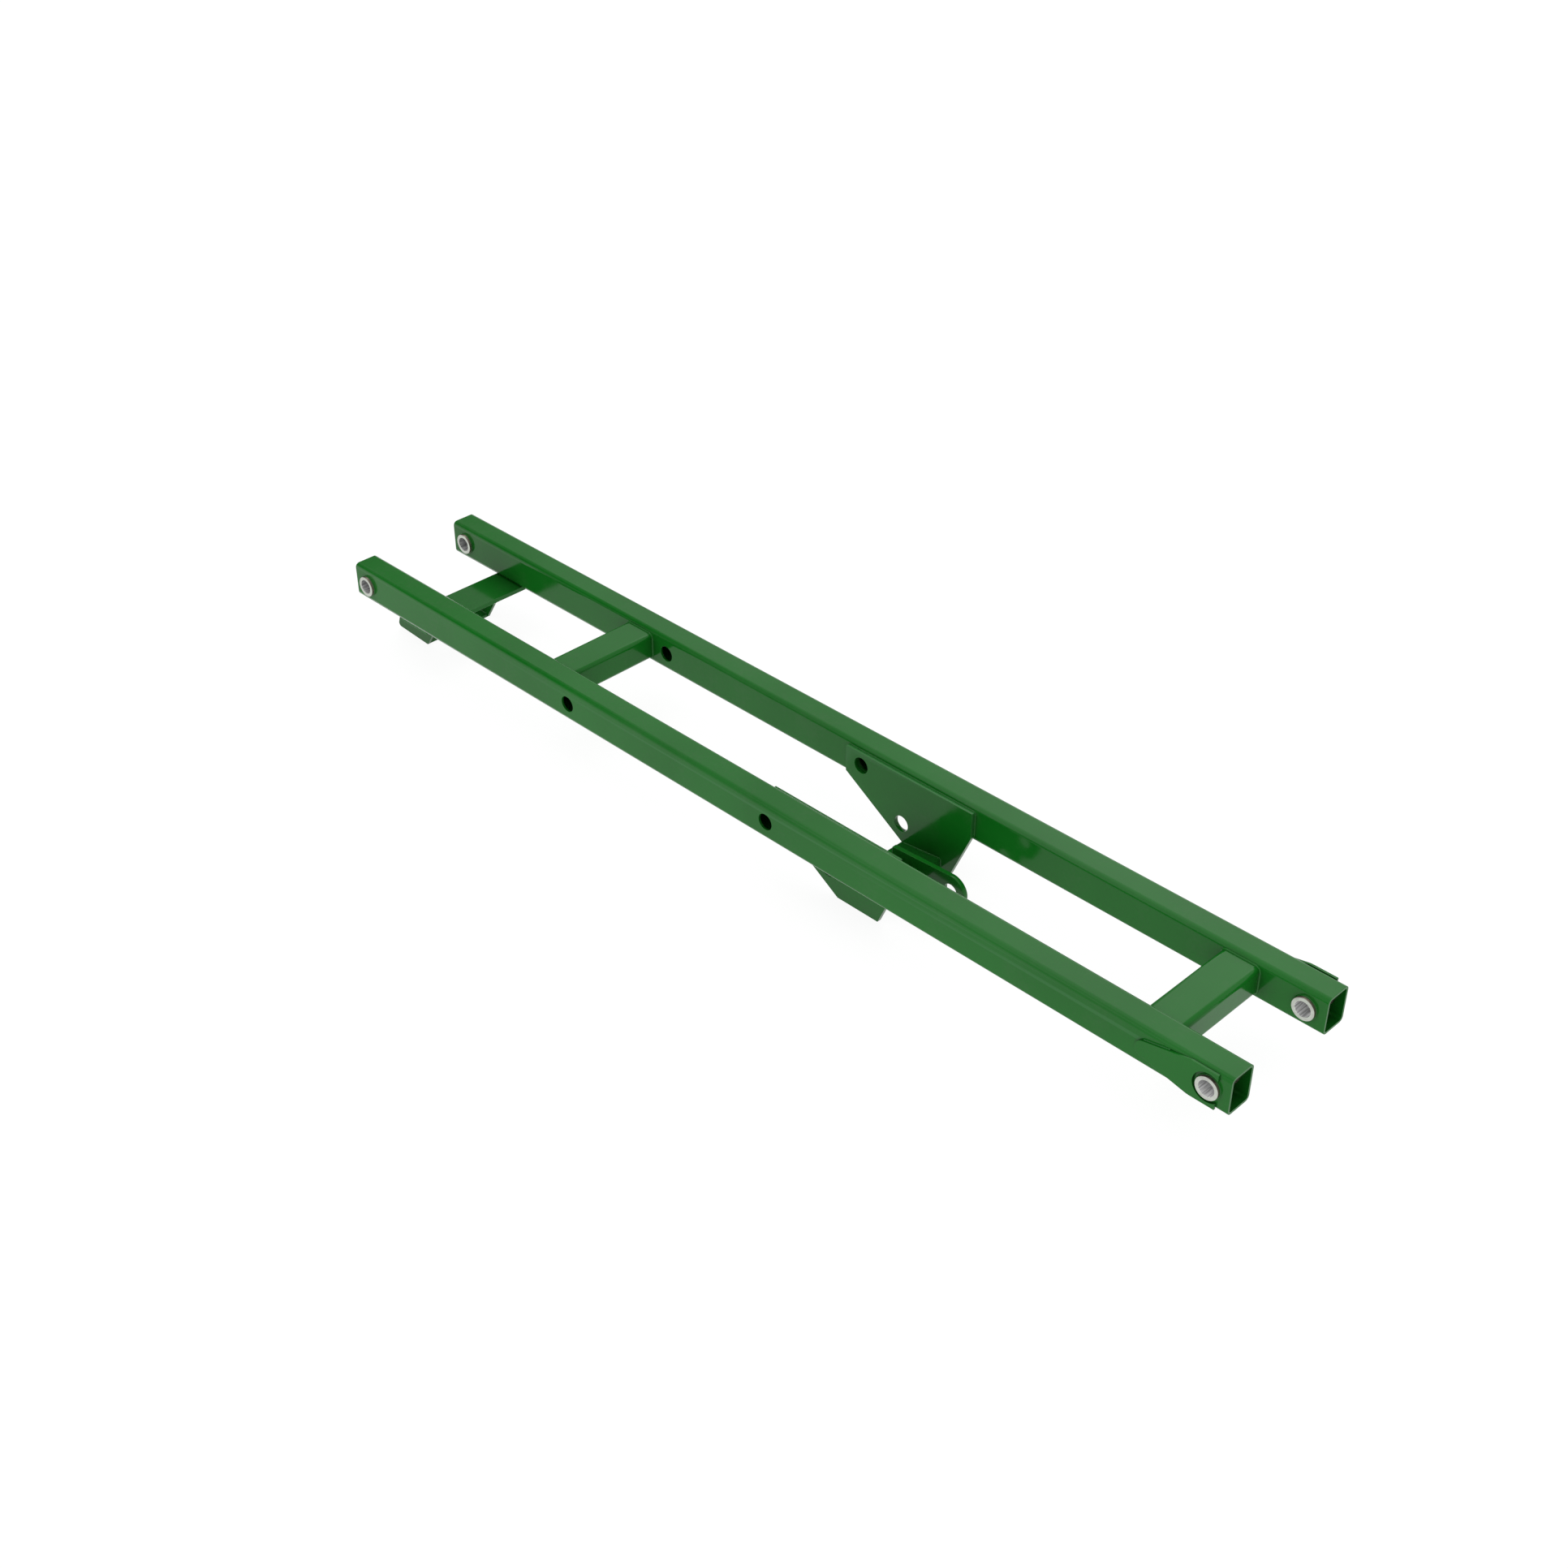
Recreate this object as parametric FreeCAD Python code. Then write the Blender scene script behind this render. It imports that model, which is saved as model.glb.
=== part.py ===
import FreeCAD, Part
import math
import os
from FreeCAD import Vector

# Welded lift arm frame: two parallel rectangular tubes (the rails) joined by cross members,
# with a pivot boss through each rail end, a pair of hanging gussets that carry a cylinder
# clevis, a pocket under the rear bar, and a horseshoe doubler around each front boss.
# Millimetres. X runs from the rear pivot to the front pivot, +Z is up, and the origin is
# on the rear pivot axis, midway between the rails. "Left" is the +Y side.

# ---- driving dimensions -------------------------------------------------------------
TUBE_TALL = 101.6          # tube section: larger side
TUBE_NARROW = 76.2         # tube section: smaller side
TUBE_WALL = 6.35
TUBE_CORNER = 12.7         # outside corner radius

PIVOT_SPACING = 2902.0     # rear pivot axis to front pivot axis
RAIL_OVERHANG = 53.0       # rail end beyond each pivot axis
RAIL_SPACING = 349.0       # rail centre to rail centre

BOSS_DIAMETER = 58.7
PIN_BORE = 40.0
BOSS_PROUD = 9.5           # boss stands this far out of each rail side
BOSS_CLEARANCE = 0.2       # radial, between the boss and the rail

CROSS_HOLE = 44.5          # diameter of the holes through rails and gussets
REAR_HOLE_X = 866.0
MIDDLE_HOLE_X = 1599.0

REAR_TUBE_X = 761.0        # centre of each cross tube
FRONT_TUBE_X = 2731.0

REAR_BAR_X = 185.0         # centre of the flat bar under the rails
REAR_BAR_WIDTH = 114.3
REAR_BAR_THICK = 12.7

POCKET_PLATE = 9.5
POCKET_WIDTH = 227.4       # across the outsides of the two side plates
POCKET_DEPTH = 136.2       # from the rails' underside down to the front lip's underside
POCKET_FLOOR_LENGTH = 137.0
POCKET_FLOOR_RISE = 8.0    # the floor climbs towards the rear
POCKET_LIP_X = 116.0       # front lip of the floor
POCKET_CORNER = 10.0
POCKET_REAR_RISE = 29.0    # height of the steep part of the side's rear edge
POCKET_REAR_LEAN = 9.0
POCKET_FRONT_RISE = 56.0   # height of the steep part of the side's front edge
POCKET_FRONT_LEAN = 35.0
POCKET_FRONT_INSET = 31.0  # the side's top corner behind the rear bar's front edge
POCKET_REAR_INSET = 3.0

GUSSET_THICK = 12.7
GUSSET_REAR_X = 1547.0
GUSSET_LENGTH = 416.0
GUSSET_TOP_INSET = 14.3    # its top edge below the rail's top
GUSSET_DROP = 178.4        # bottom edge below the rail centre line
GUSSET_FLAT = 132.0        # length of the bottom edge
GUSSET_REAR_RUN = 224.0    # how far forward the bottom edge starts
GUSSET_SHOULDER = 37.5     # the slanted edges start this far below the rail centre line
GUSSET_HOLE_X = 191.8      # ahead of the gusset's rear edge
GUSSET_HOLE_Z = -107.2

CYLINDER_BAR_WIDTH = 130.0
CYLINDER_BAR_THICK = 25.4
CYLINDER_BAR_TILT = 6.75   # degrees, rising towards the front
CYLINDER_BAR_X = 195.5     # its upper rear edge, ahead of the gusset's rear edge
CYLINDER_BAR_EDGE = 3.0

LUG_THICK = 12.7
LUG_GAP = 63.5             # between the two lugs
LUG_RADIUS = 45.0
LUG_TILT = 3.5             # degrees
LUG_REACH = 112.2          # lug pin axis ahead of the cylinder bar's upper front edge
LUG_PIN_Z = -133.6
LUG_SEAT = 78.0            # length of lug that lies on the bar

DOUBLER_THICK = 6.35
DOUBLER_INSET = 3.2        # its long edges inside the rail's top and bottom
DOUBLER_FRONT = 23.0       # its front end ahead of the pivot axis
DOUBLER_STRAIGHT = 46.0    # full height reaches this far behind the pivot axis
DOUBLER_LENGTH = 209.0
DOUBLER_NOSE = 22.0        # radius of the rounded rear end
DOUBLER_MOUTH = 38.1       # radius of the opening around the boss
DOUBLER_BEND = 60.0        # radius where the taper meets the full height

TUBE_WELD = 3.5            # fillet weld leg lengths
PLATE_WELD = 3.0
BOSS_WELD = 2.5
DOUBLER_WELD = 2.0
WELD_CROWN = 0.16          # how far a bead bulges, as a share of its leg

# ---- places worked out from them ----------------------------------------------------
HALF_TALL = TUBE_TALL / 2
HALF_NARROW = TUBE_NARROW / 2
RAIL_REAR = -RAIL_OVERHANG
RAIL_FRONT = PIVOT_SPACING + RAIL_OVERHANG
RAIL_INSIDE = RAIL_SPACING / 2 - HALF_NARROW
RAIL_OUTSIDE = RAIL_SPACING / 2 + HALF_NARROW
GUSSET_INSIDE = RAIL_INSIDE - GUSSET_THICK
GUSSET_TOP = HALF_TALL - GUSSET_TOP_INSET
DOUBLER_HALF = HALF_TALL - DOUBLER_INSET
REAR_BAR_TOP = -HALF_TALL
REAR_BAR_BOTTOM = REAR_BAR_TOP - REAR_BAR_THICK
SIDES = {"left": 1, "right": -1}
ENDS = {"rear": 0.0, "front": PIVOT_SPACING}
UP = Vector(0, 0, 1)
ALONG_X = Vector(1, 0, 0)
ALONG_Y = Vector(0, 1, 0)


# ---- shape helpers ------------------------------------------------------------------
def block(low, high):
    """A box between two corners."""
    return Part.makeBox(*(high - low), low)


def edges_along(solid, direction):
    return [e for e in solid.Edges
            if abs(e.tangentAt(e.FirstParameter).dot(direction)) > 0.999 and e.Length > 0]


def rounded_bar(low, high, direction, radius):
    """A box whose four edges parallel to a direction are rounded."""
    solid = block(low, high)
    return solid.makeFillet(radius, edges_along(solid, direction))


def tube_solids(low, high, direction):
    """Outer and inner solids of the rectangular tube; the inner one runs past both ends."""
    skin = Vector(TUBE_WALL, TUBE_WALL, TUBE_WALL)
    past = direction * (2 * TUBE_WALL)
    outer = rounded_bar(low, high, direction, TUBE_CORNER)
    inner = rounded_bar(low + skin - past, high - skin + past, direction, TUBE_CORNER - TUBE_WALL)
    return outer, inner


def cylinder_y(x, z, radius, y0, y1):
    return Part.makeCylinder(radius, y1 - y0, Vector(x, y0, z), ALONG_Y)


def xz(x, z):
    return Vector(x, 0, z)


def plate(edges, y0, y1):
    """A plate cut to a closed outline in the XZ plane, between two Y values."""
    face = Part.Face(Part.Wire(Part.__sortEdges__(edges)))
    face.translate(Vector(0, y0, 0))
    return face.extrude(Vector(0, y1 - y0, 0))


def polygon_edges(points):
    return [Part.makeLine(a, b) for a, b in zip(points, points[1:] + points[:1])]


def mirrored(solid, side):
    """The solid itself for the left side, its mirror image for the right."""
    return solid if side > 0 else solid.mirror(Vector(0, 0, 0), ALONG_Y)


def bead(start, end, leg_a, leg_b):
    """A straight fillet weld in the corner at start..end, with a slightly crowned face."""
    a, b = start + leg_a, start + leg_b
    out = (leg_a + leg_b) * 0.5
    crown = start + out + out * (2 * WELD_CROWN)
    outline = Part.Wire([Part.makeLine(start, a), Part.Arc(a, crown, b).toShape(), Part.makeLine(b, start)])
    return Part.Face(outline).extrude(end - start)


def ring_bead(x, z, radius, y_face, outward, leg):
    """A fillet weld around a round boss, on a face whose outward direction is +Y or -Y."""
    cone = Part.makeCone(radius + leg, radius, leg, Vector(x, y_face, z), ALONG_Y * outward)
    return cone.cut(Part.makeCylinder(radius, 3 * leg, Vector(x, y_face - leg * outward, z),
                                      ALONG_Y * outward))


# ---- rails and cross members ---------------------------------------------------------
def rail_blank():
    """Outer and inner solids of the left rail."""
    low = Vector(RAIL_REAR, RAIL_INSIDE, -HALF_TALL)
    high = Vector(RAIL_FRONT, RAIL_OUTSIDE, HALF_TALL)
    return tube_solids(low, high, ALONG_X)


def rail(side):
    outer, inner = rail_blank()
    holes = [cylinder_y(x, 0, BOSS_DIAMETER / 2 + BOSS_CLEARANCE, RAIL_INSIDE - 1, RAIL_OUTSIDE + 1)
             for x in ENDS.values()]
    holes += [cylinder_y(x, 0, CROSS_HOLE / 2, RAIL_INSIDE - 1, RAIL_OUTSIDE + 1)
              for x in (REAR_HOLE_X, MIDDLE_HOLE_X)]
    return mirrored(outer.cut([inner] + holes), side)


def cross_tube_blank(x):
    """The cross tubes lie flat between the rails' inner faces."""
    low = Vector(x - HALF_TALL, -RAIL_INSIDE, -HALF_NARROW)
    high = Vector(x + HALF_TALL, RAIL_INSIDE, HALF_NARROW)
    return tube_solids(low, high, ALONG_Y)


def cross_tube(x):
    outer, inner = cross_tube_blank(x)
    return outer.cut(inner)


def rear_bar():
    half = REAR_BAR_WIDTH / 2
    reach = RAIL_OUTSIDE - TUBE_CORNER
    return block(Vector(REAR_BAR_X - half, -reach, REAR_BAR_BOTTOM),
                 Vector(REAR_BAR_X + half, reach, REAR_BAR_TOP))


# ---- pocket under the rear bar ---------------------------------------------------------
def pocket_lip():
    return xz(POCKET_LIP_X, REAR_BAR_TOP - POCKET_DEPTH)


def pocket_heel():
    return pocket_lip() + xz(-POCKET_FLOOR_LENGTH, POCKET_FLOOR_RISE)


def pocket_side(side):
    half = REAR_BAR_WIDTH / 2
    points = [pocket_lip(), pocket_heel(),
              pocket_heel() + xz(POCKET_REAR_LEAN, POCKET_REAR_RISE),
              xz(REAR_BAR_X - half + POCKET_REAR_INSET, REAR_BAR_BOTTOM),
              xz(REAR_BAR_X + half - POCKET_FRONT_INSET, REAR_BAR_BOTTOM),
              pocket_lip() + xz(POCKET_FRONT_LEAN, POCKET_FRONT_RISE)]
    outside = POCKET_WIDTH / 2
    solid = plate(polygon_edges(points), outside - POCKET_PLATE, outside)
    heel = [e for e in edges_along(solid, ALONG_Y) if abs(e.CenterOfMass.x - pocket_heel().x) < 0.5]
    return mirrored(solid.makeFillet(POCKET_CORNER, heel), side)


def pocket_floor():
    along = (pocket_heel() - pocket_lip()).normalize()
    rise = Vector(along.z, 0, -along.x) * POCKET_PLATE
    heel = pocket_heel() - along * POCKET_CORNER
    points = [pocket_lip(), heel, heel + rise, pocket_lip() + rise]
    inside = POCKET_WIDTH / 2 - POCKET_PLATE
    return plate(polygon_edges(points), -inside, inside)


# ---- gussets, cylinder bar and clevis --------------------------------------------------
def gusset_outline():
    rear, front = GUSSET_REAR_X, GUSSET_REAR_X + GUSSET_LENGTH
    foot = rear + GUSSET_REAR_RUN
    return [xz(rear, GUSSET_TOP), xz(front, GUSSET_TOP), xz(front, -GUSSET_SHOULDER),
            xz(foot + GUSSET_FLAT, -GUSSET_DROP), xz(foot, -GUSSET_DROP), xz(rear, -GUSSET_SHOULDER)]


def gusset(side):
    solid = plate(polygon_edges(gusset_outline()), GUSSET_INSIDE, RAIL_INSIDE)
    places = ((GUSSET_REAR_X + GUSSET_HOLE_X, GUSSET_HOLE_Z), (MIDDLE_HOLE_X, 0))
    holes = [cylinder_y(x, z, CROSS_HOLE / 2, GUSSET_INSIDE - 1, RAIL_INSIDE + 1) for x, z in places]
    return mirrored(solid.cut(holes), side)


def cylinder_bar_corners():
    """Upper rear, upper front, lower front and lower rear corners of the tilted bar."""
    tilt = math.radians(CYLINDER_BAR_TILT)
    slope = (GUSSET_DROP - GUSSET_SHOULDER) / GUSSET_REAR_RUN
    upper_rear = xz(GUSSET_REAR_X + CYLINDER_BAR_X, -GUSSET_SHOULDER - slope * CYLINDER_BAR_X)
    along = xz(math.cos(tilt), math.sin(tilt)) * CYLINDER_BAR_WIDTH
    down = xz(math.sin(tilt), -math.cos(tilt)) * CYLINDER_BAR_THICK
    return [upper_rear, upper_rear + along, upper_rear + along + down, upper_rear + down]


def cylinder_bar():
    solid = plate(polygon_edges(cylinder_bar_corners()), -GUSSET_INSIDE, GUSSET_INSIDE)
    lower_rear = cylinder_bar_corners()[3]
    edge = [e for e in edges_along(solid, ALONG_Y) if (e.CenterOfMass - lower_rear).Length < 1]
    return solid.makeFillet(CYLINDER_BAR_EDGE, edge)


def lug_pin():
    return xz(cylinder_bar_corners()[1].x + LUG_REACH, LUG_PIN_Z)


def lug_top_corners():
    """Where the lug's top edge starts at the rear, and the bar point below it."""
    rear, front = cylinder_bar_corners()[:2]
    seat = front + (rear - front).normalize() * LUG_SEAT
    tilt = math.radians(LUG_TILT)
    tangent = lug_pin() + xz(-math.sin(tilt), math.cos(tilt)) * LUG_RADIUS
    top_z = tangent.z - (tangent.x - seat.x) * math.tan(tilt)
    return tangent, xz(seat.x, top_z), seat


def cylinder_lug(side):
    tangent, top, seat = lug_top_corners()
    front_top, front_bottom = cylinder_bar_corners()[1:3]
    pin = lug_pin()
    end_angle = math.radians(LUG_TILT / 2)
    nose = pin + xz(math.cos(end_angle), math.sin(end_angle)) * LUG_RADIUS
    under = pin + xz(0, -LUG_RADIUS)
    corners = [under, front_bottom, front_top, seat, top, tangent]
    edges = [Part.makeLine(a, b) for a, b in zip(corners, corners[1:])]
    edges.append(Part.Arc(tangent, nose, under).toShape())
    inside = LUG_GAP / 2
    solid = plate(edges, inside, inside + LUG_THICK)
    bore = cylinder_y(pin.x, pin.z, PIN_BORE / 2, inside - 1, inside + LUG_THICK + 1)
    return mirrored(solid.cut(bore), side)


# ---- pivot bosses and doublers -----------------------------------------------------------
def pivot_boss(x, side):
    y0, y1 = RAIL_INSIDE - BOSS_PROUD, RAIL_OUTSIDE + BOSS_PROUD
    solid = cylinder_y(x, 0, BOSS_DIAMETER / 2, y0, y1).cut(cylinder_y(x, 0, PIN_BORE / 2, y0 - 1, y1 + 1))
    return mirrored(solid, side)


def doubler_blank():
    """The horseshoe before its mouth is cut: a rounded nose that widens to full height."""
    front = PIVOT_SPACING + DOUBLER_FRONT
    shoulder = PIVOT_SPACING - DOUBLER_STRAIGHT
    nose_x = front - DOUBLER_LENGTH + DOUBLER_NOSE
    run, rise = shoulder - nose_x, DOUBLER_HALF
    touch = math.atan2(rise, run) + math.acos(DOUBLER_NOSE / math.hypot(run, rise))
    upper = xz(nose_x + DOUBLER_NOSE * math.cos(touch), DOUBLER_NOSE * math.sin(touch))
    lower = xz(upper.x, -upper.z)
    corners = [lower, xz(shoulder, -DOUBLER_HALF), xz(front, -DOUBLER_HALF),
               xz(front, DOUBLER_HALF), xz(shoulder, DOUBLER_HALF), upper]
    edges = [Part.makeLine(a, b) for a, b in zip(corners, corners[1:])]
    edges.append(Part.Arc(upper, xz(nose_x - DOUBLER_NOSE, 0), lower).toShape())
    solid = plate(edges, RAIL_OUTSIDE, RAIL_OUTSIDE + DOUBLER_THICK)
    bends = [e for e in edges_along(solid, ALONG_Y) if abs(e.CenterOfMass.x - shoulder) < 0.5]
    return solid.makeFillet(DOUBLER_BEND, bends)


def doubler(side):
    mouth = cylinder_y(PIVOT_SPACING, 0, DOUBLER_MOUTH, RAIL_OUTSIDE - 1, RAIL_OUTSIDE + DOUBLER_THICK + 1)
    return mirrored(doubler_blank().cut(mouth), side)


# ---- weld beads ----------------------------------------------------------------------
def tube_weld(x):
    """Fillets around both ends of a cross tube, against the rails' inner faces."""
    outer, _ = cross_tube_blank(x)
    rails = [mirrored(rail_blank()[0], side) for side in SIDES.values()]
    beads = []
    for side in SIDES.values():
        wires = []
        for y, grow in ((RAIL_INSIDE + TUBE_WELD / 2, 1.5 * TUBE_WELD), (RAIL_INSIDE - TUBE_WELD, 0.0)):
            half_x, half_z = HALF_TALL + grow, HALF_NARROW + grow
            flat = rounded_bar(Vector(x - half_x, 0, -half_z), Vector(x + half_x, 1, half_z),
                               ALONG_Y, TUBE_CORNER + grow)
            section = min(flat.Faces, key=lambda face: face.CenterOfMass.y).OuterWire
            section.translate(Vector(0, y, 0))
            wires.append(section)
        skirt = mirrored(Part.makeLoft(wires, True, True), side)
        beads.append(skirt.cut([outer] + rails))
    return Part.makeCompound(beads)


def boss_welds(x):
    """A ring on both sides of both rails, around the bosses of one pivot axis."""
    radius = BOSS_DIAMETER / 2
    rings = []
    for side in SIDES.values():
        for y, outward in ((RAIL_OUTSIDE, 1), (RAIL_INSIDE, -1)):
            rings.append(mirrored(ring_bead(x, 0, radius, y, outward, BOSS_WELD), side))
    return Part.makeCompound(rings)


def rear_bar_welds():
    """The bar's long edges under each rail."""
    half = REAR_BAR_WIDTH / 2
    beads = []
    for side in SIDES.values():
        for step in (-1, 1):
            start = Vector(REAR_BAR_X + step * half, RAIL_INSIDE + TUBE_CORNER, REAR_BAR_TOP)
            end = Vector(start.x, RAIL_OUTSIDE - TUBE_CORNER, start.z)
            beads.append(mirrored(bead(start, end, ALONG_X * step * PLATE_WELD, UP * -PLATE_WELD), side))
    return Part.makeCompound(beads)


def pocket_welds():
    """Outside corners between the side plates and the bar, and inside ones along the floor."""
    half = REAR_BAR_WIDTH / 2
    outside, inside = POCKET_WIDTH / 2, POCKET_WIDTH / 2 - POCKET_PLATE
    along = (pocket_heel() - pocket_lip()).normalize()
    rise = Vector(along.z, 0, -along.x)
    beads = []
    for side in SIDES.values():
        start = Vector(REAR_BAR_X - half + POCKET_REAR_INSET, outside, REAR_BAR_BOTTOM)
        end = Vector(REAR_BAR_X + half - POCKET_FRONT_INSET, outside, REAR_BAR_BOTTOM)
        beads.append(mirrored(bead(start, end, ALONG_Y * PLATE_WELD, UP * -PLATE_WELD), side))
        start = pocket_lip() + rise * POCKET_PLATE + ALONG_Y * inside + along * PLATE_WELD
        end = pocket_heel() + rise * POCKET_PLATE + ALONG_Y * inside - along * 2 * POCKET_CORNER
        beads.append(mirrored(bead(start, end, ALONG_Y * -PLATE_WELD, rise * PLATE_WELD), side))
    return Part.makeCompound(beads)


def gusset_welds(side):
    """The gusset's top and upright edges against the rail's inner face."""
    rear, front = GUSSET_REAR_X, GUSSET_REAR_X + GUSSET_LENGTH
    inward = ALONG_Y * -PLATE_WELD
    top = bead(Vector(rear, RAIL_INSIDE, GUSSET_TOP), Vector(front, RAIL_INSIDE, GUSSET_TOP),
               inward, UP * PLATE_WELD)
    beads = [top]
    for x, step in ((rear, -1), (front, 1)):
        beads.append(bead(Vector(x, RAIL_INSIDE, -HALF_NARROW + 2), Vector(x, RAIL_INSIDE, GUSSET_TOP),
                          ALONG_X * step * PLATE_WELD, inward))
    return Part.makeCompound([mirrored(one, side) for one in beads])


def cylinder_bar_welds():
    """Both ends of the bar's upper and front faces against the gussets."""
    upper_rear, upper_front, lower_front, _ = cylinder_bar_corners()
    along = (upper_front - upper_rear).normalize()
    up = (upper_front - lower_front).normalize()
    beads = []
    for side in SIDES.values():
        shift = ALONG_Y * GUSSET_INSIDE
        inward = ALONG_Y * -PLATE_WELD
        beads.append(mirrored(bead(upper_rear + along * 2 * PLATE_WELD + shift, upper_front + shift,
                                   inward, up * PLATE_WELD), side))
        beads.append(mirrored(bead(lower_front + shift, upper_front + shift,
                                   along * PLATE_WELD, inward), side))
    return Part.makeCompound(beads)


def lug_welds():
    """The outer side of each lug along the bar's upper face."""
    _, _, seat = lug_top_corners()
    _, upper_front, lower_front, _ = cylinder_bar_corners()
    up = (upper_front - lower_front).normalize() * PLATE_WELD
    beads = []
    for side in SIDES.values():
        shift = ALONG_Y * (LUG_GAP / 2 + LUG_THICK)
        beads.append(mirrored(bead(seat + shift, upper_front + shift, ALONG_Y * PLATE_WELD, up), side))
    return Part.makeCompound(beads)


def doubler_welds():
    """Along the doubler's tapered edges, where it lies on the rail's flat side."""
    blank = doubler_blank()
    tilt = math.atan2(DOUBLER_HALF - DOUBLER_NOSE,
                      DOUBLER_LENGTH - DOUBLER_FRONT - DOUBLER_STRAIGHT - DOUBLER_NOSE)
    along = xz(math.cos(tilt), math.sin(tilt))
    away = xz(-math.sin(tilt), math.cos(tilt))
    nose_x = PIVOT_SPACING + DOUBLER_FRONT - DOUBLER_LENGTH + DOUBLER_NOSE
    start = xz(nose_x, 0) + away * DOUBLER_NOSE + ALONG_Y * RAIL_OUTSIDE
    reach = (HALF_TALL - TUBE_CORNER - DOUBLER_WELD - start.z) / along.z
    upper = bead(start, start + along * reach, away * DOUBLER_WELD, ALONG_Y * DOUBLER_WELD)
    upper = upper.cut(blank)
    lower = upper.mirror(Vector(0, 0, 0), UP)
    return Part.makeCompound([mirrored(one, side) for side in SIDES.values() for one in (upper, lower)])


# ---- the assembly --------------------------------------------------------------------
def nodes():
    """Every piece by name."""
    pieces = {}
    for name, side in SIDES.items():
        pieces[name + "_rail"] = rail(side)
        pieces[name + "_gusset"] = gusset(side)
        pieces[name + "_cylinder_lug"] = cylinder_lug(side)
        pieces[name + "_pocket_side"] = pocket_side(side)
        pieces[name + "_front_doubler"] = doubler(side)
        pieces[name + "_gusset_welds"] = gusset_welds(side)
        for end, x in ENDS.items():
            pieces[name + "_" + end + "_pivot_boss"] = pivot_boss(x, side)
    for end, x in ENDS.items():
        pieces[end + "_boss_welds"] = boss_welds(x)
    for end, x in (("rear", REAR_TUBE_X), ("front", FRONT_TUBE_X)):
        pieces[end + "_cross_tube"] = cross_tube(x)
        pieces[end + "_cross_tube_welds"] = tube_weld(x)
    pieces["rear_bar"] = rear_bar()
    pieces["rear_bar_welds"] = rear_bar_welds()
    pieces["pocket_floor"] = pocket_floor()
    pieces["pocket_welds"] = pocket_welds()
    pieces["cylinder_bar"] = cylinder_bar()
    pieces["cylinder_bar_welds"] = cylinder_bar_welds()
    pieces["cylinder_lug_welds"] = lug_welds()
    pieces["doubler_welds"] = doubler_welds()
    return pieces


os.makedirs("parts", exist_ok=True)
for node_name, shape in nodes().items():
    shape.exportStep("parts/" + node_name + ".step")
    size = shape.BoundBox
    print(f"{node_name:28s} solids {len(shape.Solids)} valid {shape.isValid()} volume {shape.Volume:12.1f}"
          f"  x {size.XMin:8.1f} {size.XMax:8.1f} y {size.YMin:7.1f} {size.YMax:7.1f}"
          f" z {size.ZMin:7.1f} {size.ZMax:7.1f}")
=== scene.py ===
import math

import bmesh
import bpy
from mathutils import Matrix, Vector


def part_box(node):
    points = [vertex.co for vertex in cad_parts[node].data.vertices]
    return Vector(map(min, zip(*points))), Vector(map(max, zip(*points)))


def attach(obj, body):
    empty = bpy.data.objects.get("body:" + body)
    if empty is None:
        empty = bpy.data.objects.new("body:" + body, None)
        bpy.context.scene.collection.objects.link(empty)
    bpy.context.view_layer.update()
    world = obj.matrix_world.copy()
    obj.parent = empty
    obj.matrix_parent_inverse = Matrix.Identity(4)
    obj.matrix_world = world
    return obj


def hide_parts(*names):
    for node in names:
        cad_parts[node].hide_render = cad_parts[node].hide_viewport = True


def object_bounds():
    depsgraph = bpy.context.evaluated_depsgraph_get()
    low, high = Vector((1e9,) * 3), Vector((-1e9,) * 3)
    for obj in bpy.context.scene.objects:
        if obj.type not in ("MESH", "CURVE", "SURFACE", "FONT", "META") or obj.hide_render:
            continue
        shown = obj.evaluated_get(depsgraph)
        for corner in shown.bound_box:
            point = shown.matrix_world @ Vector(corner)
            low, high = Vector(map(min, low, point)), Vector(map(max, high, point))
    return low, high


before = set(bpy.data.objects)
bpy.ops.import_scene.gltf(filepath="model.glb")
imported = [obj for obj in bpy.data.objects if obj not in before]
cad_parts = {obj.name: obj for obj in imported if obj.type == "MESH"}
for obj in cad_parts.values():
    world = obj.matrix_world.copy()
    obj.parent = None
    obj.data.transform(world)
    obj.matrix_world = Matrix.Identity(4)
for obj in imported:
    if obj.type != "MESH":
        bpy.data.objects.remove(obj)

# Looks of the welded lift arm frame. Metres, in the part's own frame: X from the rear pivot to
# the front pivot, +Z up, the origin on the rear pivot axis midway between the rails.
# Plates, tubes and bosses are copies of their nodes with eased edges; weld beads are rippled
# meshes, except the doublers' beads, which are the node itself.

CAD_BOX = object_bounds()

# ---- sizes ---------------------------------------------------------------------------
MM = 0.001
SHEARED_EDGE = 0.7 * MM        # easing of sheared and sawn edges under paint
THICK_EDGE = 0.9 * MM          # easing of the thick bars' edges
MACHINED_EDGE = 1.0 * MM       # chamfer of the turned bosses
EDGE_STEPS = 3
CORNER_ANGLE = math.radians(32)
FLAT_ANGLE = math.radians(0.5)
MERGE_DISTANCE = 0.01 * MM

TUBE_BEAD = 3.5 * MM           # fillet leg lengths
PLATE_BEAD = 2.2 * MM          # drawn smaller than the node's, so that corners stay crisp
RING_BEAD = 2.5 * MM
TUBE_CORNER = 12.7 * MM        # outside corner radius of the tubes
BORE_RADIUS = 20 * MM
POCKET_PLATE = 9.5 * MM
POCKET_TILT = math.atan2(8.0, 137.0)    # its floor climbs 8 mm in 137 mm
CYLINDER_BAR_TILT = math.radians(6.75)
CYLINDER_BAR_THICK = 25.4 * MM
BEAD_POINTS = 8                # points across a bead's face
BEAD_CROWN = 0.20              # bulge, as a share of the leg
BEAD_ROOT = 0.15               # depth of a bead's hidden corner, as a share of the leg
BEAD_END = 0.35                # size of a bead's first and last points, as a share of the leg
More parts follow.
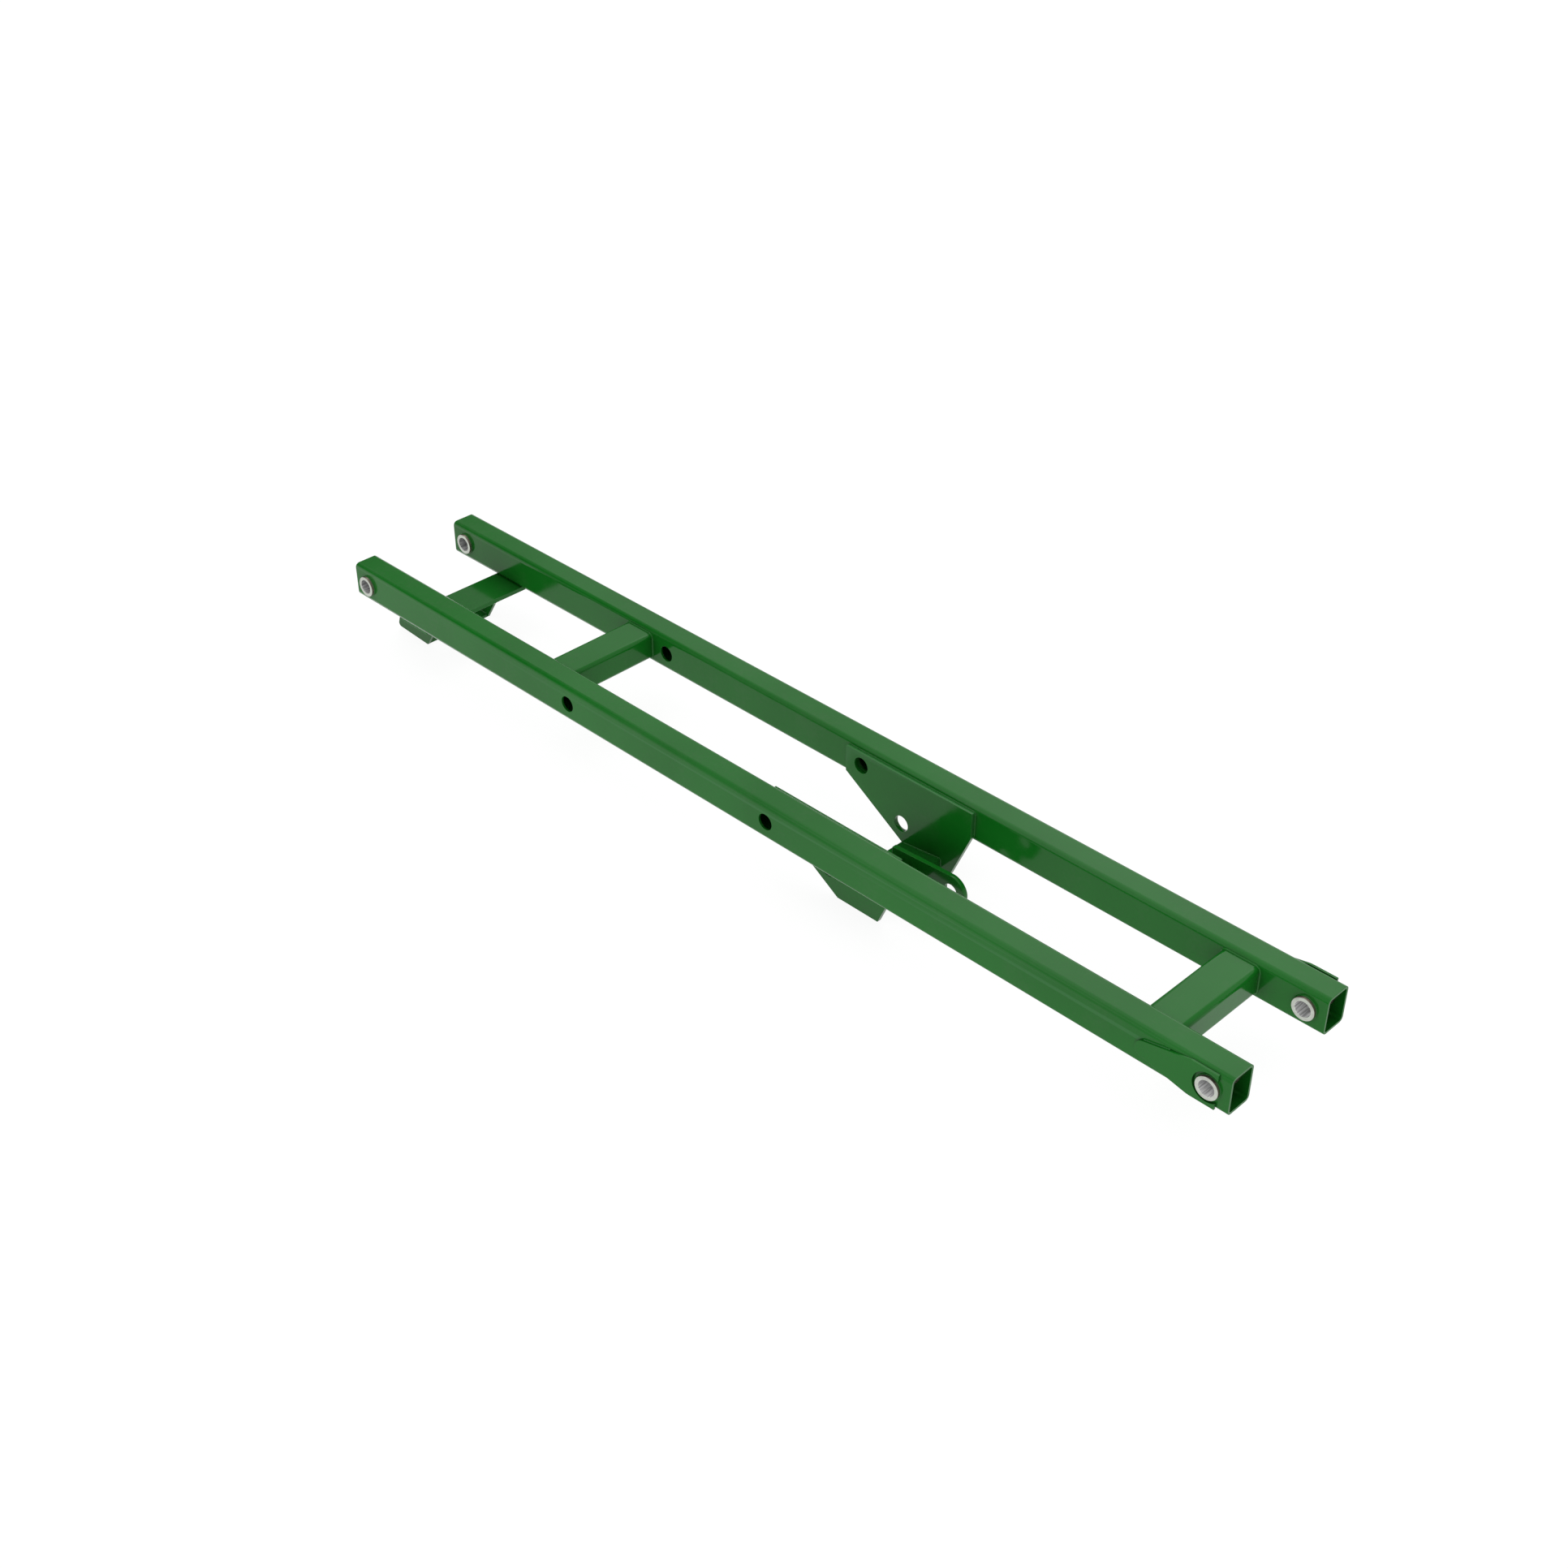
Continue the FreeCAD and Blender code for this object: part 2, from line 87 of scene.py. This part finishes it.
RIPPLE = 0.13                  # ripple height, as a share of the leg
RIPPLE_PITCH = 0.75            # ripple spacing, in legs
RIPPLE_STEPS = 6               # rings of points in each ripple
RIPPLE_SWEEP = 0.55            # how far a ripple's middle trails its toes, in pitches
RIPPLE_REST = 0.6              # the scallop's height that leaves the bead's face where it was
TOE_RIPPLE = 0.25              # ripple left at a bead's toes
CORNER_STEPS = 28              # points round each corner of a cross tube's bead
SEAM_MARGIN = 2 * MM           # clear of the rail's rounded corner
POCKET_BACK = 3 * MM           # start of the pocket's upper beads, from the bar's rear edge
POCKET_HEEL = 10 * MM          # start of its floor beads, from the floor's rear edge

# (axis, from, to, added radiance) along the direction: darkest at the rear and on the right
ROOM_STEPS = (("X", -0.74, -0.65, 0.80), ("X", -0.58, -0.44, 0.95), ("X", -0.30, 0.10, -1.10),
              ("Y", -0.50, 0.10, 0.30))
SKIRTING = (0.04, 0.32)        # heights between which the pale horizon turns into the room
HORIZON_LIGHT = (0.80, 0.80, 0.80)
KEY_PLACE = (4.0, -4.0, 2.5)   # from the object's centre
KEY_SIZE = 4.0
KEY_POWER = 30.0               # watts

FLOOR_REACH = 30.0             # from the object's centre to the floor's edges
FLOOR_DROP = 0.5 * MM          # below the lowest point
FLOOR_TONES = (0.12, 0.13)
FLOOR_GLOW = 0.91

LENS = 50.0                    # millimetres
SENSOR = 36.0
CLIP_END = 100.0
VIEW_FROM = (1, -1, 1)
VIEW_DISTANCE = 1.8            # diagonals of the object


# ---- node helpers ----------------------------------------------------------------------
def new_material(name):
    material = bpy.data.materials.new(name)
    material.use_nodes = True
    material.node_tree.nodes.clear()
    return material, material.node_tree


def node(tree, kind, inputs=None, **settings):
    made = tree.nodes.new(kind)
    for key, value in settings.items():
        setattr(made, key, value)
    for key, value in (inputs or {}).items():
        made.inputs[key].default_value = value
    return made


def noise(tree, coords, scale, detail, stretch=(1, 1, 1)):
    """Noise over the object's own coordinates, in features per metre."""
    mapping = node(tree, "ShaderNodeMapping", {"Scale": stretch})
    made = node(tree, "ShaderNodeTexNoise", {"Scale": scale, "Detail": detail})
    tree.links.new(coords, mapping.inputs["Vector"])
    tree.links.new(mapping.outputs["Vector"], made.inputs["Vector"])
    return made.outputs["Fac"]


def spread(tree, value, low, high, to_low, to_high):
    made = node(tree, "ShaderNodeMapRange",
                {"From Min": low, "From Max": high, "To Min": to_low, "To Max": to_high})
    tree.links.new(value, made.inputs["Value"])
    return made.outputs["Result"]


def mixed(tree, factor, first, second):
    made = node(tree, "ShaderNodeMix", data_type="RGBA")
    tree.links.new(factor, made.inputs["Factor"])
    for socket, colour in ((made.inputs["A"], first), (made.inputs["B"], second)):
        if isinstance(colour, bpy.types.NodeSocket):
            tree.links.new(colour, socket)
        else:
            socket.default_value = (*colour, 1)
    return made.outputs["Result"]


def added(tree, first, second, weight):
    """first + weight * second."""
    made = node(tree, "ShaderNodeMath", operation="MULTIPLY_ADD")
    made.inputs[1].default_value = weight
    tree.links.new(second, made.inputs[0])
    tree.links.new(first, made.inputs[2])
    return made.outputs["Value"]


def bumped(tree, height, distance, below=None):
    made = node(tree, "ShaderNodeBump", {"Distance": distance, "Strength": 1.0})
    tree.links.new(height, made.inputs["Height"])
    if below is not None:
        tree.links.new(below, made.inputs["Normal"])
    return made.outputs["Normal"]


def finished(tree, shader, colour, roughness, normal):
    output = node(tree, "ShaderNodeOutputMaterial")
    tree.links.new(colour, shader.inputs["Base Color"])
    tree.links.new(roughness, shader.inputs["Roughness"])
    tree.links.new(normal, shader.inputs["Normal"])
    tree.links.new(shader.outputs["BSDF"], output.inputs["Surface"])


# ---- places read from the frame --------------------------------------------------------
def span(name, axis):
    low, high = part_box(name)
    return low[axis], high[axis]


SIDES = {"left": 1, "right": -1}
UP, FORWARD, INWARD = Vector((0, 0, 1)), Vector((1, 0, 0)), Vector((0, -1, 0))
RAIL_INSIDE, RAIL_OUTSIDE = span("left_rail", 1)
RAIL_TOP = span("left_rail", 2)[1]
REAR_BOSS, FRONT_BOSS = span("left_rear_pivot_boss", 0), span("left_front_pivot_boss", 0)
PIVOTS = {"rear": sum(REAR_BOSS) / 2, "front": sum(FRONT_BOSS) / 2}
BOSS_RADIUS = (REAR_BOSS[1] - REAR_BOSS[0]) / 2
LOW, HIGH = Vector(CAD_BOX[0]), Vector(CAD_BOX[1])
CENTRE = (LOW + HIGH) / 2
DIAGONAL = (HIGH - LOW).length


# ---- materials -------------------------------------------------------------------------
PAINT_DEEP = (0.0042, 0.109, 0.0078)
PAINT_LIGHT = (0.0058, 0.127, 0.0105)
PAINT_DUST = (0.060, 0.115, 0.055)
PAINT_THIN = (0.030, 0.150, 0.040)
# painted shade: the colour that recesses, corners and places under parts are darkened towards, and how
# far off a surface still shades them
PAINTED_RECESS_SHADE = (0.0035, 0.066, 0.0055)
PAINTED_SHADE_REACH = 0.15
PAINT_GLOSS = (0.085, 0.17)    # least and most roughness
PAINT_REFLECTION = 0.195       # specular level
DUST_COVER = 0.22              # most dust
THIN_COVER = 0.55              # thinnest paint on an edge
WAVE_HEIGHT = 0.12 * MM
PEEL_HEIGHT = 0.012 * MM
# noise scales, in features per metre
TONE_SCALE, CLOUD_SCALE, WAVE_SCALE, SPECKLE_SCALE, PEEL_SCALE = 3.0, 9.0, 28.0, 90.0, 260.0


def green_paint(name, texture=1.0, dust=0.5):
    """Glossy enamel: orange peel, slow tone changes, faint dust, thin on edges, and painted shade that
    darkens its colour in recesses.
    """
    material, tree = new_material(name)
    coords = node(tree, "ShaderNodeTexCoord").outputs["Object"]
    slow = spread(tree, noise(tree, coords, TONE_SCALE, 3.0), 0.35, 0.65, 0, 1)
    colour = mixed(tree, slow, PAINT_DEEP, PAINT_LIGHT)

    speckle = noise(tree, coords, SPECKLE_SCALE, 4.0)
    cloud = noise(tree, coords, CLOUD_SCALE, 5.0)
    settled = spread(tree, added(tree, cloud, speckle, 0.5), 0.78, 0.98, 0, DUST_COVER * dust)
    colour = mixed(tree, settled, colour, PAINT_DUST)

    pointed = node(tree, "ShaderNodeNewGeometry").outputs["Pointiness"]
    edge = spread(tree, pointed, 0.54, 0.60, 0, THIN_COVER)
    colour = mixed(tree, edge, colour, PAINT_THIN)

    # painted shade: ambient occlusion darkens the paint's colour in recesses, corners and under parts
    recess_shade = node(tree, "ShaderNodeAmbientOcclusion", {"Distance": PAINTED_SHADE_REACH}, samples=8)
    unshaded_share = spread(tree, recess_shade.outputs["AO"], 0.30, 0.85, 0, 1)
    colour = mixed(tree, unshaded_share, PAINTED_RECESS_SHADE, colour)

    roughness = spread(tree, added(tree, cloud, speckle, 0.35), 0.45, 0.95, *PAINT_GLOSS)
    peel = noise(tree, coords, PEEL_SCALE, 1.0)
    wave = noise(tree, coords, WAVE_SCALE, 1.0)
    normal = bumped(tree, wave, WAVE_HEIGHT * texture)
    normal = bumped(tree, peel, PEEL_HEIGHT * texture, below=normal)
    shader = node(tree, "ShaderNodeBsdfPrincipled",
                  {"IOR": 1.5, "Specular IOR Level": PAINT_REFLECTION})
    finished(tree, shader, colour, roughness, normal)
    return material


STEEL_FACE = (0.535, 0.57, 0.51)
STEEL_DULL = (0.44, 0.445, 0.41)
STEEL_RIM_DARK = (0.13, 0.10, 0.07)
BORE_LIGHT_AND_SHADE_TONES = {"rear": (0.24, 0.52), "front": (0.38, 0.82)}    # painted light and shade along each end's bores: light and dark streaks painted as reflections, darker at the rear end and lighter at the front
RIM_DARK_BAND = (0.55 * MM, 0.05 * MM)    # the rim's dark brown starts and is full this far inside the rim; the boss's outer side is dark brown all over
BORE_BAND = (0.6 * MM, 0.3 * MM)       # the bore's look starts and is full this far outside it
TOOL_PITCH = 0.8 * MM
TOOL_DEPTH = 0.010 * MM
STREAK_DEPTH = 0.04 * MM
STEEL_GLOSS = (0.30, 0.46)
METAL_FACE, METAL_BORE = 0.9, 0.25
BLOTCH_SCALE, STREAK_SCALE = 60.0, 320.0


def machined_steel(name, centre_x, bore_light_and_shade_tones):
    """Bare turned steel: fine tool rings about the boss axis, a dark brown rim and outer side, and a
    bore whose streaks are painted reflections and whose tone is painted shade, darker at the rear end
    than at the front.
    """
    material, tree = new_material(name)
    coords = node(tree, "ShaderNodeTexCoord").outputs["Object"]
    shifted = node(tree, "ShaderNodeMapping", {"Location": (-centre_x, 0, 0), "Scale": (1, 0, 1)})
    tree.links.new(coords, shifted.inputs["Vector"])
    radius = node(tree, "ShaderNodeVectorMath", operation="LENGTH")
    tree.links.new(shifted.outputs["Vector"], radius.inputs[0])
    distance = radius.outputs["Value"]

    tool = node(tree, "ShaderNodeMath", operation="SINE")
    turns = node(tree, "ShaderNodeMath", operation="MULTIPLY")
    turns.inputs[1].default_value = 2 * math.pi / TOOL_PITCH
    tree.links.new(distance, turns.inputs[0])
    tree.links.new(turns.outputs["Value"], tool.inputs[0])

    blotch = noise(tree, coords, BLOTCH_SCALE, 5.0)
    streak = noise(tree, coords, STREAK_SCALE, 3.0, (1, 0.05, 1))
    colour = mixed(tree, spread(tree, blotch, 0.40, 0.72, 0, 1), STEEL_FACE, STEEL_DULL)
    # the boss's outer side and the last half millimetre of its face turn dark brown
    rim_dark_from, rim_dark_full = (BOSS_RADIUS - inset for inset in RIM_DARK_BAND)
    colour = mixed(tree, spread(tree, distance, rim_dark_from, rim_dark_full, 0, 0.85), colour, STEEL_RIM_DARK)
    bore_from, bore_full = (BORE_RADIUS + margin for margin in BORE_BAND)
    inside = spread(tree, distance, bore_from, bore_full, 0, 1)
    # painted light and shade: the bore's streaks stand for reflections seen in it, and its tones are
    # darker at the rear end than at the front; the streaks are also real bumps
    bore_light_and_shade = spread(tree, streak, 0.40, 0.62, *bore_light_and_shade_tones)
    colour = mixed(tree, inside, colour, bore_light_and_shade)

    roughness = spread(tree, added(tree, blotch, streak, 0.4), 0.5, 0.9, *STEEL_GLOSS)
    normal = bumped(tree, tool.outputs["Value"], TOOL_DEPTH)
    normal = bumped(tree, streak, STREAK_DEPTH, below=normal)
    shader = node(tree, "ShaderNodeBsdfPrincipled", {"IOR": 1.5})
    tree.links.new(spread(tree, inside, 0, 1, METAL_FACE, METAL_BORE), shader.inputs["Metallic"])
    finished(tree, shader, colour, roughness, normal)
    return material


def floor_material():
    """A plain pale sheet that glows, so that shadows on it stay faint."""
    material, tree = new_material("studio_floor")
    coords = node(tree, "ShaderNodeTexCoord").outputs["Object"]
    tone = spread(tree, noise(tree, coords, 1.5, 2.0), 0.3, 0.7, 0, 1)
    colour = spread(tree, tone, 0, 1, *FLOOR_TONES)
    roughness = spread(tree, tone, 0, 1, 0.9, 0.95)
    normal = bumped(tree, tone, 0.0001)
    shader = node(tree, "ShaderNodeBsdfPrincipled",
                  {"Specular IOR Level": 0.0, "Emission Color": (1, 1, 1, 1),
                   "Emission Strength": FLOOR_GLOW})
    finished(tree, shader, colour, roughness, normal)
    return material


# ---- mesh helpers ------------------------------------------------------------------------
def show(name, mesh, material, replaced):
    """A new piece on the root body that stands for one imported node."""
    mesh.materials.clear()
    mesh.materials.append(material)
    piece = bpy.data.objects.new(name, mesh)
    bpy.context.scene.collection.objects.link(piece)
    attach(piece, "root")
    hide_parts(replaced)
    return piece


def eased_copy(source, name, material, width):
    """The node's own shape with its corners eased, so that they catch the light."""
    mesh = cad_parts[source].data.copy()
    mesh.name = name
    bm = bmesh.new()
    bm.from_mesh(mesh)
    bmesh.ops.remove_doubles(bm, verts=bm.verts, dist=MERGE_DISTANCE)
    bmesh.ops.dissolve_limit(bm, angle_limit=FLAT_ANGLE, verts=bm.verts, edges=bm.edges)
    bm.to_mesh(mesh)
    bm.free()
    scratch = bpy.data.objects.new(name + "_scratch", mesh)
    bpy.context.scene.collection.objects.link(scratch)
    bevel = scratch.modifiers.new("edges", "BEVEL")
    bevel.width = width
    bevel.segments = EDGE_STEPS
    bevel.limit_method = "ANGLE"
    bevel.angle_limit = CORNER_ANGLE
    bevel.use_clamp_overlap = True
    bevel.harden_normals = True
    bpy.context.view_layer.update()
    graph = bpy.context.evaluated_depsgraph_get()
    done = bpy.data.meshes.new_from_object(scratch.evaluated_get(graph))
    bpy.data.objects.remove(scratch)
    done.name = name
    return show(name, done, material, source)


def bead_rows(path, leg_a, leg_b, leg, closed):
    """Rows of points across a bead's face and root, one row for each point along its path."""
    rows = []
    travelled = 0.0
    total = sum((b - a).length for a, b in zip(path, path[1:]))
    pitch = RIPPLE_PITCH * leg
    if closed:
        pitch = total / max(1, round(total / pitch))
    for i, root in enumerate(path):
        if i:
            travelled += (root - path[i - 1]).length
        a, b = leg_a(root), leg_b(root)
        grow = 1.0
        if not closed:
            near_end = min(travelled, total - travelled)
            rise = math.sqrt(max(0.0, 1 - (1 - min(1.0, near_end / leg)) ** 2))
            grow = BEAD_END + (1 - BEAD_END) * rise
        out = (a + b).normalized()
        row = []
        for j in range(BEAD_POINTS + 1):
            t = j / BEAD_POINTS
            arch = math.sin(math.pi * t)
            phase = ((travelled + RIPPLE_SWEEP * pitch * arch) / pitch) % 1.0
            scallop = math.sqrt(max(0.0, 1 - phase * phase)) - RIPPLE_REST
            lift = BEAD_CROWN * arch + RIPPLE * scallop * (TOE_RIPPLE + (1 - TOE_RIPPLE) * arch)
            row.append(root + (a * (1 - t) + b * t) * leg * grow + out * leg * grow * lift)
        row.append(root - out * BEAD_ROOT * leg)
        rows.append(row)
    return rows


def bead_into(bm, path, leg_a, leg_b, leg, closed=False):
    """One closed, rippled bead added to a bmesh."""
    rows = bead_rows(path, leg_a, leg_b, leg, closed)
    if closed:
        rows = rows[:-1]
    verts = [[bm.verts.new(p) for p in row] for row in rows]
    count = len(rows[0])
    for i in range(len(verts) if closed else len(verts) - 1):
        this, following = verts[i], verts[(i + 1) % len(verts)]
        for j in range(count):
            k = (j + 1) % count
            bm.faces.new((this[j], this[k], following[k], following[j]))
    if not closed:
        bm.faces.new(verts[0])
        bm.faces.new(list(reversed(verts[-1])))


def along(start, end, leg):
    """Evenly spaced points from start to end, several to each ripple."""
    span = end - start
    steps = max(4, round(span.length / (RIPPLE_PITCH * leg) * RIPPLE_STEPS))
    return [start + span * (i / steps) for i in range(steps + 1)]


def bead_piece(name, material, replaced, fill):
    """A piece whose mesh is filled by fill(bm)."""
    bm = bmesh.new()
    fill(bm)
    bmesh.ops.recalc_face_normals(bm, faces=bm.faces)
    mesh = bpy.data.meshes.new(name)
    bm.to_mesh(mesh)
    bm.free()
    for polygon in mesh.polygons:
        polygon.use_smooth = True
    return show(name, mesh, material, replaced)


def fixed(x, y, z):
    """A direction that is the same all along a bead."""
    direction = Vector((x, y, z)).normalized()
    return lambda point: direction


# ---- beads -----------------------------------------------------------------------------
def boss_beads(centre_x):
    def fill(bm):
        ring = round(2 * math.pi * BOSS_RADIUS / (RIPPLE_PITCH * RING_BEAD)) * RIPPLE_STEPS
        for side in SIDES.values():
            for face, outward in ((RAIL_OUTSIDE, side), (RAIL_INSIDE, -side)):
                centre = Vector((centre_x, side * face, 0))
                path = [centre + Vector((math.cos(t), 0, math.sin(t))) * BOSS_RADIUS
                        for t in (2 * math.pi * i / ring for i in range(ring + 1))]
                bead_into(bm, path, lambda p, c=centre: (p - c).normalized(),
                          fixed(0, outward, 0), RING_BEAD, closed=True)
    return fill


def tube_outline(name, y):
    """Points round a cross tube's section, in order, at one Y."""
    low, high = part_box(name)
    centres = [(high.x, high.z, 0), (low.x, high.z, 1), (low.x, low.z, 2), (high.x, low.z, 3)]
    corners = []
    for x, z, quarter in centres:
        cx = x - math.copysign(TUBE_CORNER, x - (low.x + high.x) / 2)
        cz = z - math.copysign(TUBE_CORNER, z)
        for i in range(CORNER_STEPS + 1):
            t = (quarter + i / CORNER_STEPS) * math.pi / 2
            corners.append(Vector((cx + TUBE_CORNER * math.cos(t), y, cz + TUBE_CORNER * math.sin(t))))
    points = []
    for a, b in zip(corners, corners[1:] + corners[:1]):
        steps = max(1, round((b - a).length / (RIPPLE_PITCH * TUBE_BEAD) * RIPPLE_STEPS))
        points += [a.lerp(b, i / steps) for i in range(steps)]
    return points + points[:1]


def tube_beads(name):
    low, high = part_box(name)

    def outward(point):
        nearest = Vector((min(max(point.x, low.x + TUBE_CORNER), high.x - TUBE_CORNER), point.y,
                          min(max(point.z, low.z + TUBE_CORNER), high.z - TUBE_CORNER)))
        return (point - nearest).normalized()

    def fill(bm):
        for side in SIDES.values():
            bead_into(bm, tube_outline(name, side * RAIL_INSIDE), outward,
                      fixed(0, -side, 0), TUBE_BEAD, closed=True)
    return fill


def straight_beads(seams, leg, sides=(1, -1)):
    """seams: (start, end, leg direction, leg direction) on the left; the right mirrors them."""
    def fill(bm):
        for side in sides:
            mirror = Vector((1, side, 1))
            for start, end, a, b in seams:
                bead_into(bm, along(start * mirror, end * mirror, leg),
                          fixed(*(Vector(a) * mirror)), fixed(*(Vector(b) * mirror)), leg)
    return fill


def gusset_seams():
    """The gusset's top and upright edges on the rail's inner face."""
    low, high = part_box("left_gusset")
    flat_end = TUBE_CORNER - RAIL_TOP + SEAM_MARGIN
    seams = [(Vector((low.x, RAIL_INSIDE, high.z)), Vector((high.x, RAIL_INSIDE, high.z)), INWARD, UP)]
    for x, away in ((low.x, -FORWARD), (high.x, FORWARD)):
        foot, head = Vector((x, RAIL_INSIDE, flat_end)), Vector((x, RAIL_INSIDE, high.z))
        seams.append((foot, head, away, INWARD))
    return seams


def rear_bar_seams():
    """The bar's long edges under each rail."""
    low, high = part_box("rear_bar")
    return [(Vector((x, RAIL_INSIDE + TUBE_CORNER, -RAIL_TOP)),
             Vector((x, RAIL_OUTSIDE - TUBE_CORNER, -RAIL_TOP)), away, -UP)
            for x, away in ((low.x, -FORWARD), (high.x, FORWARD))]


def pocket_seams():
    """The side plate's outer face under the bar, and its inner face along the floor."""
    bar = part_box("rear_bar")[0]
    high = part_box("left_pocket_side")[1]
    floor_low, floor_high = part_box("pocket_floor")
    tilt = Vector((math.cos(POCKET_TILT), 0, -math.sin(POCKET_TILT)))
    rise = Vector((math.sin(POCKET_TILT), 0, math.cos(POCKET_TILT)))
    heel = Vector((floor_low.x + POCKET_PLATE * rise.x, floor_high.y, floor_high.z))
    reach = (floor_high.x - heel.x) / tilt.x
    top = Vector((bar.x + POCKET_BACK, high.y, bar.z))
    return [(top, Vector((high.x, high.y, bar.z)), -INWARD, -UP),
            (heel + tilt * POCKET_HEEL, heel + tilt * (reach - PLATE_BEAD), INWARD, rise)]


def cylinder_bar_frame():
    """Upper rear and upper front corners of the tilted bar, and its two directions."""
    low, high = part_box("cylinder_bar")
    forward = Vector((math.cos(CYLINDER_BAR_TILT), 0, math.sin(CYLINDER_BAR_TILT)))
    up = Vector((-math.sin(CYLINDER_BAR_TILT), 0, math.cos(CYLINDER_BAR_TILT)))
    upper_front = Vector((high.x + up.x * CYLINDER_BAR_THICK, 0, high.z))
    upper_rear = upper_front - forward * (upper_front.x - low.x) / forward.x
    return upper_rear, upper_front, forward, up


def cylinder_bar_seams():
    """The bar's upper and front faces against the gusset."""
    rear, front, forward, up = cylinder_bar_frame()
    wall = Vector((0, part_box("cylinder_bar")[1].y, 0))
    return [(rear + forward * 2 * PLATE_BEAD + wall, front + wall, INWARD, up),
            (front - up * CYLINDER_BAR_THICK + wall, front + wall, forward, INWARD)]


def lug_seams():
    """The lug's outer face along the bar."""
    rear, front, forward, up = cylinder_bar_frame()
    low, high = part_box("left_cylinder_lug")
    wall = Vector((0, high.y, 0))
    seat = rear + forward * (low.x - rear.x) / forward.x
    return [(seat + wall, front + wall, -INWARD, up)]


# ---- the object ------------------------------------------------------------------------
PAINT = green_paint("green_enamel")
BEAD_PAINT = green_paint("green_enamel_on_welds", texture=1.6, dust=0.9)
# the two ends' steels are one finish, with the rear bores painted in shade and the front bores painted
# lighter
STEEL = {end: machined_steel("turned_steel_" + end, x, BORE_LIGHT_AND_SHADE_TONES[end]) for end, x in PIVOTS.items()}

for side_name in SIDES:
    eased_copy(side_name + "_rail", side_name + "_rail_tube", PAINT, SHEARED_EDGE)
    eased_copy(side_name + "_gusset", side_name + "_gusset_plate", PAINT, SHEARED_EDGE)
    eased_copy(side_name + "_cylinder_lug", side_name + "_cylinder_lug_plate", PAINT, SHEARED_EDGE)
    eased_copy(side_name + "_pocket_side", side_name + "_pocket_side_plate", PAINT, SHEARED_EDGE)
    eased_copy(side_name + "_front_doubler", side_name + "_front_doubler_plate", PAINT, SHEARED_EDGE)
    for end in PIVOTS:
        eased_copy(f"{side_name}_{end}_pivot_boss", f"{side_name}_{end}_pivot_ring", STEEL[end],
                   MACHINED_EDGE)
for end in PIVOTS:
    eased_copy(end + "_cross_tube", end + "_cross_tube_shell", PAINT, SHEARED_EDGE)
    bead_piece(end + "_cross_tube_beads", BEAD_PAINT, end + "_cross_tube_welds",
               tube_beads(end + "_cross_tube"))
    bead_piece(end + "_boss_beads", BEAD_PAINT, end + "_boss_welds", boss_beads(PIVOTS[end]))
eased_copy("rear_bar", "rear_bar_flat", PAINT, THICK_EDGE)
eased_copy("pocket_floor", "pocket_floor_plate", PAINT, SHEARED_EDGE)
eased_copy("cylinder_bar", "cylinder_bar_block", PAINT, THICK_EDGE)
for side_name, side_sign in SIDES.items():
    bead_piece(side_name + "_gusset_beads", BEAD_PAINT, side_name + "_gusset_welds",
               straight_beads(gusset_seams(), PLATE_BEAD, (side_sign,)))
for bead_name, seams in (("rear_bar", rear_bar_seams()), ("pocket", pocket_seams()),
                         ("cylinder_bar", cylinder_bar_seams()), ("cylinder_lug", lug_seams())):
    bead_piece(bead_name + "_beads", BEAD_PAINT, bead_name + "_welds",
               straight_beads(seams, PLATE_BEAD))
doubler_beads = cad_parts["doubler_welds"].data      # these keep the node's own shape
doubler_beads.materials.clear()
doubler_beads.materials.append(BEAD_PAINT)


# ---- stage, light and camera -------------------------------------------------------------
def floor():
    mesh = bpy.data.meshes.new("studio_floor")
    bm = bmesh.new()
    bmesh.ops.create_grid(bm, x_segments=8, y_segments=8, size=FLOOR_REACH)
    bm.to_mesh(mesh)
    bm.free()
    mesh.materials.append(floor_material())
    sheet = bpy.data.objects.new("studio_floor", mesh)
    sheet.location = (CENTRE.x, CENTRE.y, LOW.z - FLOOR_DROP)
    bpy.context.scene.collection.objects.link(sheet)


def room():
    """A white room, darker at its rear end, with a pale horizon."""
    world = bpy.data.worlds.new("white_room")
    bpy.context.scene.world = world
    world.use_nodes = True
    tree = world.node_tree
    tree.nodes.clear()
    direction = node(tree, "ShaderNodeTexCoord").outputs["Generated"]
    split = node(tree, "ShaderNodeSeparateXYZ")
    tree.links.new(direction, split.inputs["Vector"])
    level = node(tree, "ShaderNodeValue").outputs["Value"]
    for axis, start, end, step in ROOM_STEPS:
        rise = node(tree, "ShaderNodeMapRange", {"From Min": start, "From Max": end},
                    interpolation_type="SMOOTHSTEP")
        tree.links.new(split.outputs[axis], rise.inputs["Value"])
        level = added(tree, level, rise.outputs["Result"], step)
    height = spread(tree, split.outputs["Z"], *SKIRTING, 0, 1)
    background = node(tree, "ShaderNodeBackground")
    tree.links.new(mixed(tree, height, HORIZON_LIGHT, level), background.inputs["Color"])
    output = node(tree, "ShaderNodeOutputWorld")
    tree.links.new(background.outputs["Background"], output.inputs["Surface"])


def softbox(name, place, aim, size, power):
    data = bpy.data.lights.new(name, "AREA")
    data.shape = "SQUARE"
    data.size = size
    data.energy = power
    lamp = bpy.data.objects.new(name, data)
    lamp.location = place
    lamp.rotation_euler = (Vector(aim) - Vector(place)).to_track_quat("-Z", "Y").to_euler()
    bpy.context.scene.collection.objects.link(lamp)


def camera():
    data = bpy.data.cameras.new("camera")
    data.lens = LENS
    data.sensor_width = SENSOR
    data.clip_end = CLIP_END
    body = bpy.data.objects.new("camera", data)
    away = Vector(VIEW_FROM).normalized()
    body.location = CENTRE + away * VIEW_DISTANCE * DIAGONAL
    body.rotation_euler = (-away).to_track_quat("-Z", "Y").to_euler()
    bpy.context.scene.collection.objects.link(body)
    bpy.context.scene.camera = body


floor()
room()
softbox("key", CENTRE + Vector(KEY_PLACE), CENTRE, KEY_SIZE, KEY_POWER)
camera()
bpy.context.scene.view_settings.view_transform = "Standard"
